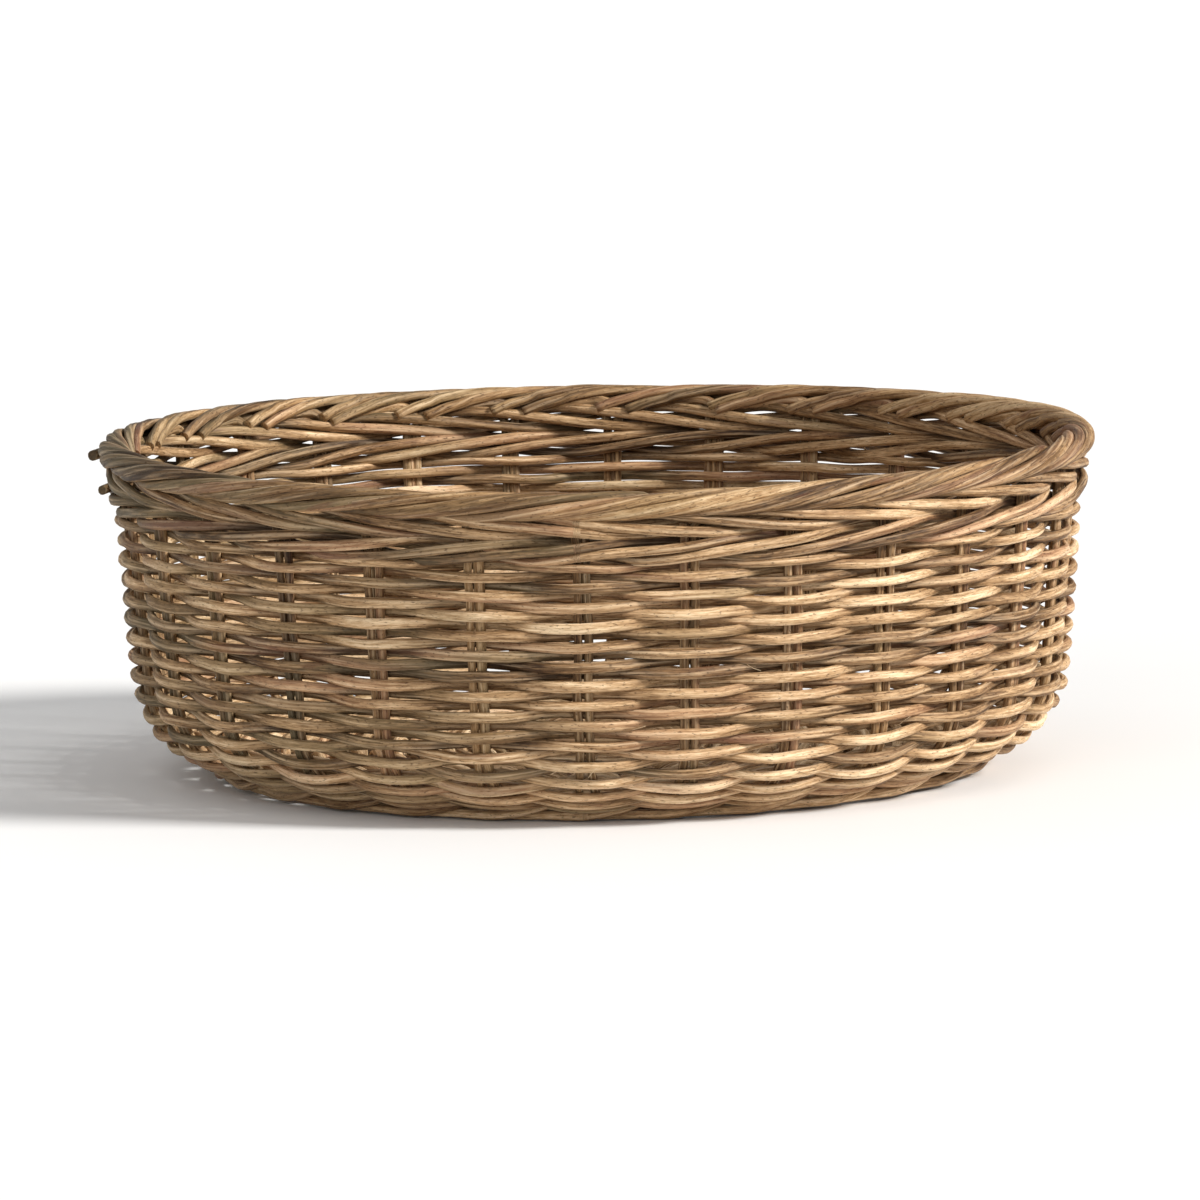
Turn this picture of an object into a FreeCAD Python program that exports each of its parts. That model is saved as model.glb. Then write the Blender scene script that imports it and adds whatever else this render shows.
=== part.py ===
# Round wicker pet bed basket: a low bowl of woven cane, open at the top.
#
# Frame: millimetres, +Z up, origin at the centre of the footprint on the floor.
# The front of the bed faces -Y. Angles run counter-clockwise seen from above.
#
# How it is put together
#   slath    : 7 pierced sticks with 7 sticks pushed through their slots, fanned into 28 spokes
#   base     : bound at the slath, then woven in rings round the spokes
#   stakes   : a pair of rods per spoke, pushed into the base weave, bent up round the corner,
#              standing in the wall, and laid down to the right as the rolled border
#   wall     : rings of weaver cane, each over one stake pair and behind the next
#   wales    : two rounds under the border that pass two pairs outside and one inside
import FreeCAD, Part
import Sketcher
import math
import os

from FreeCAD import Vector, Rotation, Placement

os.makedirs("parts", exist_ok=True)
doc = FreeCAD.newDocument("WickerPetBed")

# ---------------------------------------------------------------- driving sizes (mm, degrees)
sheet = doc.addObject("Spreadsheet::Sheet", "Sizes")
SIZES = [
    ("stake_count", 28, "spokes in the base and stake pairs in the wall"),
    ("first_stake_deg", -92, "angle of the stake pair nearest the front"),
    ("edge_radius", 224.5, "where the stakes leave the flat base and start to turn up"),
    ("corner_bend", 52, "bend radius of the stakes round the base corner"),
    ("lean_deg", 4.7, "how far the wall leans out from upright"),
    ("weave_top", 157.5, "height where the plain weave ends and the wales start"),
    ("stick_dia", 6, "base sticks"),
    ("stick_gap", 1.6, "gap between neighbouring sticks in the slath"),
    ("slot_skin", 1.7, "wood left above and below the slot of a pierced stick"),
    ("stick_short", 4, "how far a stick stops before the edge of the flat base"),
    ("stake_dia", 5, "one rod of a stake pair"),
    ("stake_tuck", 74, "length of each stake rod inside the base weave"),
    ("rod_spread", 0.5, "extra space beside a stick where its stake rods are pushed in"),
    ("binder_dia", 3.5, "fine cane of the slath binding and the inner base"),
    ("binding_rows", 4, "rows that bind the four arms of the slath"),
    ("paired_reach", 100, "radius up to which the base is woven over two, under two"),
    ("weaver_dia", 5.4, "cane of the outer base, the corner and the wall"),
    ("wale_dia", 5.5, "cane of the wales"),
    ("wale_rows", 2, "rounds in each wale"),
    ("row_gap", 0.3, "clearance between neighbouring rows"),
    ("lay_gap", 0.1, "clearance between a cane and what it crosses"),
    ("foot_drop", 1.4, "how much lower the corner rows stand than the flat base"),
    ("roll_length", 13, "half length of the bend of a cane over a stake pair"),
    ("border_lift", 0.6, "how far the border roll is raised above the bends of the leading rods"),
    ("border_out", 5.6, "how far the border roll sits outside the stake line"),
    ("border_start", 0.28, "stake spacings from a pair to where it joins the border roll"),
    ("lead_early", 0.09, "how much sooner the leading rod of a pair joins the roll"),
    ("border_reach", 3.3, "stake spacings from a pair to its cut end inside the border"),
]
for row, (alias, value, note) in enumerate(SIZES, start=1):
    sheet.set(f"A{row}", str(value))
    sheet.setAlias(f"A{row}", alias)
    sheet.set(f"B{row}", note)
doc.recompute()


def size(alias):
    return float(sheet.get(alias))


# ---------------------------------------------------------------- sizes that follow from them
COUNT = int(size("stake_count"))
STEP = 2 * math.pi / COUNT
FIRST = math.radians(size("first_stake_deg"))
ARM = COUNT // 4
RISE = math.radians(90 - size("lean_deg"))
WALE_LIFT = (size("stake_dia") + size("wale_dia")) / 2 + size("lay_gap")
BASE_LIFT = (size("stick_dia") + size("weaver_dia")) / 2 + size("lay_gap")
WALL_LIFT = (size("stake_dia") + size("weaver_dia")) / 2 + size("lay_gap")
FOOT_LIFT = BASE_LIFT + size("foot_drop")
BASE_LEVEL = FOOT_LIFT + size("weaver_dia") / 2
STAKE_APART = (size("stick_dia") + size("stake_dia")) / 2 + size("lay_gap")
STAKE_CLOSE = size("stake_dia") / 2 + size("lay_gap")
STICK_END = size("edge_radius") - size("stick_short")
PITCH = size("weaver_dia") + size("row_gap")
BINDER_PITCH = size("binder_dia") + size("row_gap")
BINDER_LIFT = (size("stick_dia") + size("binder_dia")) / 2 + size("lay_gap")
WALE_PITCH = size("wale_dia") + size("row_gap")
WALE_TOP = size("weave_top") + 2 * size("wale_rows") * WALE_PITCH
# the rods of four pairs lie side by side round the section of the border roll
PAIRS_IN_ROLL = 4
ROD_TURN = math.pi / PAIRS_IN_ROLL
ROLL_RADIUS = (size("stake_dia") + size("row_gap")) / (2 * math.sin(ROD_TURN / 2))
# the leading rod of a pair bends just above the wale, the trailing rod one rod higher
LEAD_BEND = WALE_TOP + size("stake_dia") / 2
TRAIL_BEND = LEAD_BEND + size("stake_dia") + 9 * size("lay_gap")
BORDER_LEVEL = LEAD_BEND + ROLL_RADIUS + size("border_lift")


def stake_angle(number):
    return FIRST + number * STEP


# ---------------------------------------------------------------- the line that the stakes follow
# Distance along it is counted from the centre of the base: flat base, corner arc, leaning wall.
CORNER_START = size("edge_radius")
CORNER_END = CORNER_START + size("corner_bend") * RISE
WALL_FOOT_R = size("edge_radius") + size("corner_bend") * math.sin(RISE)
WALL_FOOT_Z = BASE_LEVEL + size("corner_bend") * (1 - math.cos(RISE))


def along_wall(level):
    return CORNER_END + (level - WALL_FOOT_Z) / math.sin(RISE)


def stake_line(distance):
    """Radius, height and outward normal (radial, vertical) of the stake line."""
    if distance <= CORNER_START:
        return distance, BASE_LEVEL, 0.0, -1.0
    if distance <= CORNER_END:
        turn = (distance - CORNER_START) / size("corner_bend")
        r = size("edge_radius") + size("corner_bend") * math.sin(turn)
        z = BASE_LEVEL + size("corner_bend") * (1 - math.cos(turn))
        return r, z, math.sin(turn), -math.cos(turn)
    up = distance - CORNER_END
    r = WALL_FOOT_R + up * math.cos(RISE)
    z = WALL_FOOT_Z + up * math.sin(RISE)
    return r, z, math.sin(RISE), -math.cos(RISE)


def polar(radius, angle, level, aside=0.0):
    """A point at a radius and angle, moved aside along the tangent."""
    x = radius * math.cos(angle) - aside * math.sin(angle)
    y = radius * math.sin(angle) + aside * math.cos(angle)
    return Vector(x, y, level)


# ---------------------------------------------------------------- canes as swept solids
def bend_at(before, corner, after, reach):
    """The arc that rounds one corner of a cane's route: start, middle and end point."""
    to_before = before - corner
    to_after = after - corner
    tangent = min(reach, 0.495 * to_before.Length, 0.495 * to_after.Length)
    to_before.normalize()
    to_after.normalize()
    half_open = to_before.getAngle(to_after) / 2
    if half_open > math.pi / 2 - 0.002:
        return None
    radius = tangent * math.tan(half_open)
    inward = to_before + to_after
    inward.normalize()
    middle = corner + inward * (radius / math.sin(half_open) - radius)
    return corner + to_before * tangent, middle, corner + to_after * tangent


def bend_radius(bend):
    return Part.Arc(*bend).toShape().Curve.Radius


def route(points, reach):
    """A wire of straight runs joined by tangent arcs; reach is one length or one per point."""
    reaches = reach if isinstance(reach, list) else [reach] * len(points)
    edges = []
    here = points[0]
    for i in range(1, len(points) - 1):
        bend = bend_at(points[i - 1], points[i], points[i + 1], reaches[i])
        if bend is None:
            edges.append(Part.LineSegment(here, points[i]).toShape())
            here = points[i]
            continue
        start, middle, end = bend
        edges.append(Part.LineSegment(here, start).toShape())
        edges.append(Part.Arc(start, middle, end).toShape())
        here = end
    edges.append(Part.LineSegment(here, points[-1]).toShape())
    return Part.Wire(edges)


def cane(points, reach, diameter):
    """One solid cane of round section along a route."""
    spine = route(points, reach)
    section = Part.Circle(points[0], points[1] - points[0], diameter / 2)
    face = Part.Face(Part.Wire(section.toShape()))
    solid = spine.makePipe(face)
    wanted = spine.Length * math.pi * diameter**2 / 4
    if not solid.isValid() or abs(solid.Volume - wanted) > 0.01 * wanted:
        raise RuntimeError("a cane came out with the wrong shape")
    return solid


def rod_aside(distance):
    """How far each rod of a pair stands beside its spoke's centre line."""
    if distance < size("edge_radius") - size("stake_tuck") - size("weaver_dia"):
        return 0.0
    if distance < CORNER_START:
        return STAKE_APART + size("rod_spread")
    # the rods close up between a quarter and three quarters of the way round the corner
    share = (distance - CORNER_START) / (CORNER_END - CORNER_START)
    closed = min(1.0, max(0.0, 2 * share - 0.5))
    return STAKE_APART + closed * (STAKE_CLOSE - STAKE_APART)


def wave_row(distance, lift, signs, diameter, first):
    """A row that rolls over each stake pair, outside where the sign is +1, inside where -1.

    The row's two ends meet, cut square, behind the stake pair numbered first.
    """
    r, z, out_r, out_z = stake_line(distance)
    lifts = [lift] * COUNT
    aside = rod_aside(distance)
    touch = (size("stake_dia") + diameter) / 2 + size("lay_gap")

    def corner_points():
        made = []
        for k in range(COUNT):
            number = (first + k) % COUNT
            move = signs[number] * lifts[number]
            made.append(polar(r + move * out_r, stake_angle(number), z + move * out_z))
        return made

    # each arc dips below its corner, so the corners move out until the arcs clear the stakes
    for _ in range(6):
        points = corner_points()
        for k in range(COUNT):
            number = (first + k) % COUNT
            around = points[k - 1], points[k], points[(k + 1) % COUNT]
            bend = bend_at(*around, size("roll_length"))
            top = points[k] if bend is None else bend[1]
            normal = polar(out_r, stake_angle(number), out_z)
            reached = (top - polar(r, stake_angle(number), z)).dot(normal) * signs[number]
            # a rod beside the centre line meets the bend lower down, where it has fallen away
            fall = 0.0 if bend is None else aside**2 / (2 * max(diameter, bend_radius(bend) - lift))
            lifts[number] += max(lift, touch + fall) - reached
    points = corner_points()
    # start and finish on a short straight run along the ring behind the first pair
    start = points[0]
    lead = polar(1, stake_angle(first) + math.pi / 2, 0)
    normal = polar(out_r, stake_angle(first), out_z)
    reached = bend_at(points[-1], start, points[1], size("roll_length"))[1]
    top_level = start - normal * (start - reached).dot(normal)
    half = max(diameter * 0.55, aside + 1)
    gap = size("lay_gap")
    opened = [top_level + lead * gap, top_level + lead * half]
    closed = [top_level - lead * half, top_level - lead * gap]
    return cane(opened + points[1:] + closed, size("roll_length"), diameter)


def wrapped_row(radius, lift, signs, diameter, first):
    """A fine row in the flat base that lies over or under each spoke and wraps close round it."""
    half_gap = radius * math.sin(STEP / 2)
    slope = math.asin(min(0.999, lift / half_gap))
    aside = half_gap - lift / math.tan(slope)
    hug = lift * math.tan(slope / 2)
    points = []
    reaches = []
    for k in range(COUNT + 1):
        number = (first + k) % COUNT
        before = signs[(number - 1) % COUNT]
        here = signs[number]
        after = signs[(number + 1) % COUNT]
        level = BASE_LEVEL + here * lift
        if k > 0 and before != here:
            points.append(polar(radius, stake_angle(number), level, -aside))
            reaches.append(hug)
        if k == 0 or k == COUNT or (before == here and after == here):
            points.append(polar(radius, stake_angle(number), level))
            reaches.append(size("roll_length"))
        if k < COUNT and after != here:
            points.append(polar(radius, stake_angle(number), level, aside))
            reaches.append(hug)
    lead = points[1] - points[0]
    lead.normalize()
    points[0] = points[0] + lead * size("lay_gap")
    lead = points[-2] - points[-1]
    lead.normalize()
    points[-1] = points[-1] + lead * size("lay_gap")
    return cane(points, reaches, diameter)


# ---------------------------------------------------------------- document objects for swept pieces
nodes = []


def add_piece(label, solids):
    piece = doc.addObject("Part::Feature", label)
    piece.Label = label
    piece.Shape = solids[0] if len(solids) == 1 else Part.makeCompound(solids)
    piece.Placement = Placement(Vector(0, 0, 0), Rotation())
    nodes.append(piece)
    return piece


# ---------------------------------------------------------------- slath sticks (PartDesign bodies)
def origin_plane(body, role):
    return next(f for f in body.Origin.OriginFeatures if f.Role == role)


def new_sketch(body, name, role):
    sketch = body.newObject("Sketcher::SketchObject", name)
    sketch.AttachmentSupport = [(origin_plane(body, role), "")]
    sketch.MapMode = "FlatFace"
    return sketch


def sized(sketch, constraint, expression):
    """Adds a constraint and binds its value to the sheet."""
    index = sketch.addConstraint(constraint)
    sketch.setExpression(f"Constraints[{index}]", expression)


def draw_route(sketch, lane):
    """Half of a stick seen from above: along its lane, then fanned out along its spoke."""
    pitch = size("stick_dia") + size("stick_gap")
    offset = lane * pitch
    fan = lane * STEP
    if lane == 0:
        sketch.addGeometry(Part.LineSegment(Vector(0, 0, 0), Vector(STICK_END, 0, 0)))
        sketch.addConstraint(Sketcher.Constraint("Coincident", 0, 1, -1, 1))
        sketch.addConstraint(Sketcher.Constraint("PointOnObject", 0, 2, -1))
        end_rule = Sketcher.Constraint("Distance", 0, 1, 0, 2, STICK_END)
        sized(sketch, end_rule, "Sizes.edge_radius - Sizes.stick_short")
        return
    kink = offset / math.tan(fan)
    inner = (ARM // 2) * pitch + size("stick_dia") / 2 + size("lay_gap")
    tangent = kink - inner
    radius = tangent / math.tan(abs(fan) / 2)
    side = 1 if lane > 0 else -1
    knee = Vector(kink, offset, 0)
    spoke = Vector(math.cos(fan), math.sin(fan), 0)
    arc_start = knee - Vector(tangent, 0, 0)
    arc_end = knee + spoke * tangent
    centre = arc_start + Vector(0, side * radius, 0)
    middle_turn = -side * math.pi / 2 + fan / 2
    middle = centre + Vector(math.cos(middle_turn), math.sin(middle_turn), 0) * radius
    sketch.addGeometry(Part.LineSegment(Vector(0, offset, 0), arc_start))
    sketch.addGeometry(Part.Arc(arc_start, middle, arc_end))
    sketch.addGeometry(Part.LineSegment(arc_end, spoke * STICK_END))
    # an upward bend runs start to end along the stick, a downward bend the other way
    near, far = (1, 2) if side > 0 else (2, 1)
    sketch.addConstraint(Sketcher.Constraint("Tangent", 0, 2, 1, near))
    sketch.addConstraint(Sketcher.Constraint("Tangent", 1, far, 2, 1))
    sketch.addConstraint(Sketcher.Constraint("Horizontal", 0))
    sketch.addConstraint(Sketcher.Constraint("PointOnObject", 0, 1, -2))
    sketch.addConstraint(Sketcher.Constraint("PointOnObject", -1, 1, 2))
    lane_rule = Sketcher.Constraint("DistanceY", -1, 1, 0, 1, offset)
    sized(sketch, lane_rule, f"{lane} * (Sizes.stick_dia + Sizes.stick_gap)")
    end_rule = Sketcher.Constraint("Distance", -1, 1, 2, 2, STICK_END)
    sized(sketch, end_rule, "Sizes.edge_radius - Sizes.stick_short")
    fan_rule = Sketcher.Constraint("Angle", 2, fan)
    sized(sketch, fan_rule, f"{lane} * 360 deg / Sizes.stake_count")
    sketch.addConstraint(Sketcher.Constraint("Radius", 1, radius))


def slot_half_length():
    pitch = size("stick_dia") + size("stick_gap")
    return (ARM // 2) * pitch + size("stick_dia") / 2 + size("lay_gap") * 2


def draw_box(sketch, half_length, half_height, length_rule, height_rule):
    """A rectangle centred on the origin, its two sizes bound to the sheet."""
    corners = [
        Vector(-half_length, -half_height, 0),
        Vector(half_length, -half_height, 0),
        Vector(half_length, half_height, 0),
        Vector(-half_length, half_height, 0),
    ]
    for i in range(4):
        sketch.addGeometry(Part.LineSegment(corners[i], corners[(i + 1) % 4]))
    for i in range(4):
        sketch.addConstraint(Sketcher.Constraint("Coincident", i, 2, (i + 1) % 4, 1))
    for i in (0, 2):
        sketch.addConstraint(Sketcher.Constraint("Horizontal", i))
        sketch.addConstraint(Sketcher.Constraint("Vertical", i + 1))
    sketch.addConstraint(Sketcher.Constraint("Symmetric", 0, 1, 1, 2, -1, 1))
    sized(sketch, Sketcher.Constraint("DistanceX", 0, 1, 0, 2, 2 * half_length), length_rule)
    sized(sketch, Sketcher.Constraint("DistanceY", 1, 1, 1, 2, 2 * half_height), height_rule)


def add_stick(label, lane, quarter_turns, pierced):
    body = doc.addObject("PartDesign::Body", label)
    body.Label = label
    path = new_sketch(body, label + "_route", "XY_Plane")
    draw_route(path, lane)
    ring = new_sketch(body, label + "_section", "YZ_Plane")
    offset = lane * (size("stick_dia") + size("stick_gap"))
    ring.addGeometry(Part.Circle(Vector(offset, 0, 0), Vector(0, 0, 1), size("stick_dia") / 2))
    sized(ring, Sketcher.Constraint("Diameter", 0, size("stick_dia")), "Sizes.stick_dia")
    ring.addConstraint(Sketcher.Constraint("PointOnObject", 0, 3, -1))
    if lane == 0:
        ring.addConstraint(Sketcher.Constraint("PointOnObject", 0, 3, -2))
    else:
        lane_rule = Sketcher.Constraint("DistanceX", -1, 1, 0, 3, offset)
        sized(ring, lane_rule, f"{lane} * (Sizes.stick_dia + Sizes.stick_gap)")
    doc.recompute()
    pipe = body.newObject("PartDesign::AdditivePipe", label + "_half")
    pipe.Profile = ring
    pipe.Spine = (path, [f"Edge{i + 1}" for i in range(len(path.Shape.Edges))])
    doc.recompute()
    mirror = body.newObject("PartDesign::Mirrored", label + "_whole")
    mirror.Originals = [pipe]
    mirror.MirrorPlane = (origin_plane(body, "YZ_Plane"), [""])
    body.Tip = mirror
    doc.recompute()
    if pierced:
        slot = "2 * Sizes.lay_gap"
        span = f"2 * ({ARM // 2} * (Sizes.stick_dia + Sizes.stick_gap) + Sizes.stick_dia / 2 + {slot})"
        half_slot = size("stick_dia") / 2 + 2 * size("lay_gap")
        half_boss = half_slot + size("slot_skin")
        swell = new_sketch(body, label + "_swell", "XZ_Plane")
        draw_box(
            swell,
            slot_half_length() + size("slot_skin"),
            half_boss,
            span + " + 2 * Sizes.slot_skin",
            "Sizes.stick_dia + 4 * Sizes.lay_gap + 2 * Sizes.slot_skin",
        )
        boss = body.newObject("PartDesign::Pad", label + "_boss")
        boss.Profile = swell
        boss.Midplane = True
        boss.setExpression("Length", "Sizes.stick_dia")
        doc.recompute()
        hole = new_sketch(body, label + "_slot_outline", "XZ_Plane")
        draw_box(
            hole,
            slot_half_length(),
            half_slot,
            span,
            "Sizes.stick_dia + 4 * Sizes.lay_gap",
        )
        shift = f"{lane} * (Sizes.stick_dia + Sizes.stick_gap)"
        # the boss and the slot sit on the stick's own lane, beside the middle of the slath
        for sketch in (swell, hole):
            sketch.setExpression("AttachmentOffset.Base.z", f"-({shift})")
        slot_cut = body.newObject("PartDesign::Pocket", label + "_slot")
        slot_cut.Profile = hole
        slot_cut.Midplane = True
        slot_cut.setExpression("Length", "Sizes.stick_dia * 1.1")
        before = boss.Shape.Volume
        body.Tip = slot_cut
        doc.recompute()
        if slot_cut.Shape.Volume > before - 100:
            raise RuntimeError("the slot of " + label + " was not cut")
    body.Placement = Placement(
        Vector(0, 0, BASE_LEVEL), Rotation(Vector(0, 0, 1), 90 * quarter_turns)
    )
    body.setExpression("Placement.Rotation.Angle", f"Sizes.first_stake_deg + 90 + {90 * quarter_turns}")
    body.setExpression("Placement.Base.z", BASE_LEVEL_RULE)
    doc.recompute()
    nodes.append(body)
    return body


BASE_LEVEL_RULE = (
    "(Sizes.stick_dia + Sizes.weaver_dia) / 2 + Sizes.lay_gap + Sizes.foot_drop"
    " + Sizes.weaver_dia / 2"
)
for place in range(ARM):
    add_stick(f"slath_pierced_stick_{place + 1}", place - ARM // 2, 0, True)
for place in range(ARM):
    add_stick(f"slath_through_stick_{place + 1}", place - ARM // 2, 1, False)

# ---------------------------------------------------------------- base weave
plain = [1 if k % 2 == 0 else -1 for k in range(COUNT)]
arms = [1 if ((k + ARM // 2) // ARM) % 2 == 0 else -1 for k in range(COUNT)]
paired = [1 if (k // 2) % 2 == 0 else -1 for k in range(COUNT)]


def flipped(signs):
    return [-s for s in signs]


def inside_stake(signs, start):
    """The first stake at or after start that the row passes on its hidden side."""
    return next((start + k) % COUNT for k in range(COUNT) if signs[(start + k) % COUNT] < 0)


radius = 1.03 * BINDER_LIFT / math.sin(STEP / 2)
binding = []
for row in range(int(size("binding_rows"))):
    signs = arms if row % 2 == 0 else flipped(arms)
    start = (ARM * (row % 2) + ARM) % COUNT
    binding.append(wrapped_row(radius, BINDER_LIFT, signs, size("binder_dia"), start))
    radius += BINDER_PITCH
add_piece("slath_binding", binding)
radius += size("row_gap")

inner = []
row = 0
while radius < size("paired_reach"):
    signs = paired if row % 2 == 0 else flipped(paired)
    # the ends meet over a spoke whose two neighbours lie on its own side or beyond it
    inner.append(wrapped_row(radius, BINDER_LIFT, signs, size("binder_dia"), (5 * row) % COUNT))
    radius += BINDER_PITCH
    row += 1
add_piece("base_weave_inner", inner)
INNER_EDGE = radius - BINDER_PITCH + size("binder_dia") / 2

# ---------------------------------------------------------------- outer base, corner and wall rows
TOP = along_wall(size("weave_top")) - PITCH / 2
LOWEST = (INNER_EDGE + size("weaver_dia") / 2 + size("row_gap")) / math.cos(STEP / 2)
row_count = int((TOP - LOWEST) / PITCH) + 1
row_step = (TOP - LOWEST) / (row_count - 1)


def lift_at(distance):
    """How far a row stands off the stake line: over sticks, at the foot, up the wall."""
    if distance <= CORNER_START - PITCH:
        return BASE_LIFT
    share = min(1.0, max(0.0, (distance - CORNER_START) / (CORNER_END - CORNER_START)))
    return FOOT_LIFT + share * (WALL_LIFT - FOOT_LIFT)


bands = {"base_weave_middle": [], "base_weave_outer": [], "corner_weave_lower": []}
bands.update({"corner_weave_upper": []})
bands.update({f"wall_weave_{n}": [] for n in (1, 2, 3, 4)})
BASE_MIDDLE = (INNER_EDGE + CORNER_START) / 2
CORNER_MIDDLE = (CORNER_START + CORNER_END) / 2


def band_of(distance):
    if distance < BASE_MIDDLE:
        return "base_weave_middle"
    if distance < CORNER_START - PITCH / 2:
        return "base_weave_outer"
    if distance < CORNER_MIDDLE:
        return "corner_weave_lower"
    if distance < CORNER_END:
        return "corner_weave_upper"
    share = (distance - CORNER_END) / (TOP + PITCH / 2 - CORNER_END)
    return f"wall_weave_{min(4, 1 + int(4 * share))}"


for row in range(row_count):
    distance = TOP - row * row_step
    signs = plain if row % 2 == 0 else flipped(plain)
    first = inside_stake(signs, (9 * row) % COUNT)
    solid = wave_row(distance, lift_at(distance), signs, size("weaver_dia"), first)
    bands[band_of(distance)].append(solid)
for label, solids in bands.items():
    add_piece(label, solids)

# ---------------------------------------------------------------- wales: outside two, inside one
def twill(shift):
    signs = []
    for k in range(COUNT):
        place = (k - shift) % COUNT
        behind = place % 3 == 0 and place < COUNT - 1
        signs.append(-1 if behind else 1)
    return signs


wale_names = ["wale_lower", "wale_upper"]
for number, label in enumerate(wale_names):
    solids = []
    for row in range(int(size("wale_rows"))):
        level = size("weave_top") + (number * size("wale_rows") + row + 0.5) * WALE_PITCH
        # the lower wale climbs to the right and the upper one falls to the right
        shift = 1 + row if number == 0 else 2 - row
        signs = twill(shift % 3)
        first = inside_stake(signs, 7 * (number * 2 + row))
        solids.append(wave_row(along_wall(level), WALE_LIFT, signs, size("wale_dia"), first))
    add_piece(label, solids)

# ---------------------------------------------------------------- stake pairs and the rolled border
WALL_TOP_R = stake_line(along_wall(WALE_TOP))[0]
ROLL_R = WALL_TOP_R + size("border_out")
TURN_PER_SPACE = 2 * math.pi / PAIRS_IN_ROLL
LEAD_TURN = math.radians(-90)
TRAIL_TURN = LEAD_TURN - ROD_TURN
POINTS_PER_SPACE = 4


def on_roll(angle, turn):
    """A point on the border roll: turn 0 is its outside, 90 degrees its top."""
    r = ROLL_R + ROLL_RADIUS * math.cos(turn)
    return polar(r, angle, BORDER_LEVEL + ROLL_RADIUS * math.sin(turn))


def stake_rod(number, side):
    """One rod of a pair; side +1 is the leading (right-hand) rod, -1 the trailing one."""
    angle = stake_angle(number)
    half_bend = size("corner_bend") * math.tan(RISE / 4)
    base_near = size("edge_radius") - size("stake_tuck")
    spread = STAKE_APART + size("rod_spread")
    knee_1 = size("edge_radius") + half_bend
    knee_2_r = WALL_FOOT_R - half_bend * math.cos(RISE)
    knee_2_z = WALL_FOOT_Z - half_bend * math.sin(RISE)
    points = [
        polar(base_near, angle, BASE_LEVEL, side * spread),
        polar(knee_1, angle, BASE_LEVEL, side * STAKE_APART),
        polar(knee_2_r, angle, knee_2_z, side * STAKE_CLOSE),
    ]
    reaches = [0, half_bend, half_bend]
    # stands in the wall; the leading rod bends low and passes under the roll, the trailing
    # rod bends higher and lies inside it
    bend_level = LEAD_BEND if side > 0 else TRAIL_BEND
    wall = stake_line(along_wall(bend_level))
    points.append(polar(wall[0], angle, wall[1], side * STAKE_CLOSE))
    reaches.append(size("stake_dia"))
    # the leading rod swings out to the roll a little sooner, to make room for the trailing one
    begin = size("border_start") - (size("lead_early") if side > 0 else 0)
    spaces = size("border_reach") - begin
    count = int(math.ceil(spaces * POINTS_PER_SPACE))
    for i in range(count + 1):
        along = begin + spaces * i / count
        phase = (along - size("border_start")) * TURN_PER_SPACE
        turn = (LEAD_TURN if side > 0 else TRAIL_TURN) + phase
        points.append(on_roll(angle + along * STEP, turn))
        reaches.append(size("roll_length"))
    return cane(points, reaches, size("stake_dia"))


for number in range(COUNT):
    add_piece(f"stake_pair_{number + 1:02d}", [stake_rod(number, 1), stake_rod(number, -1)])

# ---------------------------------------------------------------- checks and export
doc.recompute()
for item in doc.Objects:
    if "Invalid" in item.State or "Error" in item.State:
        raise RuntimeError(f"{item.Label} failed: {item.State}")
for piece in nodes:
    if piece.Shape.isNull() or not piece.Shape.isValid():
        raise RuntimeError(f"{piece.Label} has no valid shape")
    piece.Shape.exportStep(f"parts/{piece.Label}.step")
box = FreeCAD.BoundBox()
for piece in nodes:
    for solid in piece.Shape.Solids:
        box.add(solid.optimalBoundingBox())
print("pieces", len(nodes), "solids", sum(len(piece.Shape.Solids) for piece in nodes))
print("box", [round(v, 2) for v in (box.XMin, box.YMin, box.ZMin, box.XMax, box.YMax, box.ZMax)])
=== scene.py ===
# %% [markdown]
# # A round wicker pet bed, cane by cane
# The bed is one weave: spokes in the base, pairs of rods that stand up from it, rows of
# cane woven round them, two chain wales and a rolled border made from the ends of the rods.
# This lesson builds every cane as its own tube, laid along a line that we work out with
# plain trigonometry. Nothing is a picture of weaving: light falls between real canes,
# though the material also paints some shade and light into their colour.

import math

import bpy
import numpy as np
from mathutils import Matrix, Vector


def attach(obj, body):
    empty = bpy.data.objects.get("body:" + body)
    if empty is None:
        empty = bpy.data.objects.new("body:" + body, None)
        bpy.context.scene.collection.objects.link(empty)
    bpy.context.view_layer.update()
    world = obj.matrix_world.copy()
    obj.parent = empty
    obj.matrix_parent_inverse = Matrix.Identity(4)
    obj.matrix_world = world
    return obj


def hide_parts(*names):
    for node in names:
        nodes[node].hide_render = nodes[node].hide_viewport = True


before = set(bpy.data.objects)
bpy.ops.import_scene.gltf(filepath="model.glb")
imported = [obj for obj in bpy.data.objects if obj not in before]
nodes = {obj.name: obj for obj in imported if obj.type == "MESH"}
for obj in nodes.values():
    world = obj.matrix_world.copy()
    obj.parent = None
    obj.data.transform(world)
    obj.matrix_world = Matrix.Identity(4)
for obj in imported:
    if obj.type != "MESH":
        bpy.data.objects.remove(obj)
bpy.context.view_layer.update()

# %% [markdown]
# The maker's sizes come first, in millimetres because that is how cane is sold. The line
# that all the rods follow is a flat base, a quarter bend and a wall that leans out a little.
# Everything woven is placed by its distance along that line, so the rows stay evenly
# packed as they go round the bend.

# %% Sizes and the line the stakes follow
MM = 0.001
STAKES = 28
STEP = 2 * math.pi / STAKES
FIRST = math.radians(-92)
EDGE_R = 224.5
BEND = 52.0
RISE = math.radians(85.3)
BASE_LEVEL = 9.9
CORNER_END = EDGE_R + BEND * RISE
FOOT_R = EDGE_R + BEND * math.sin(RISE)
FOOT_Z = BASE_LEVEL + BEND * (1 - math.cos(RISE))


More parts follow.
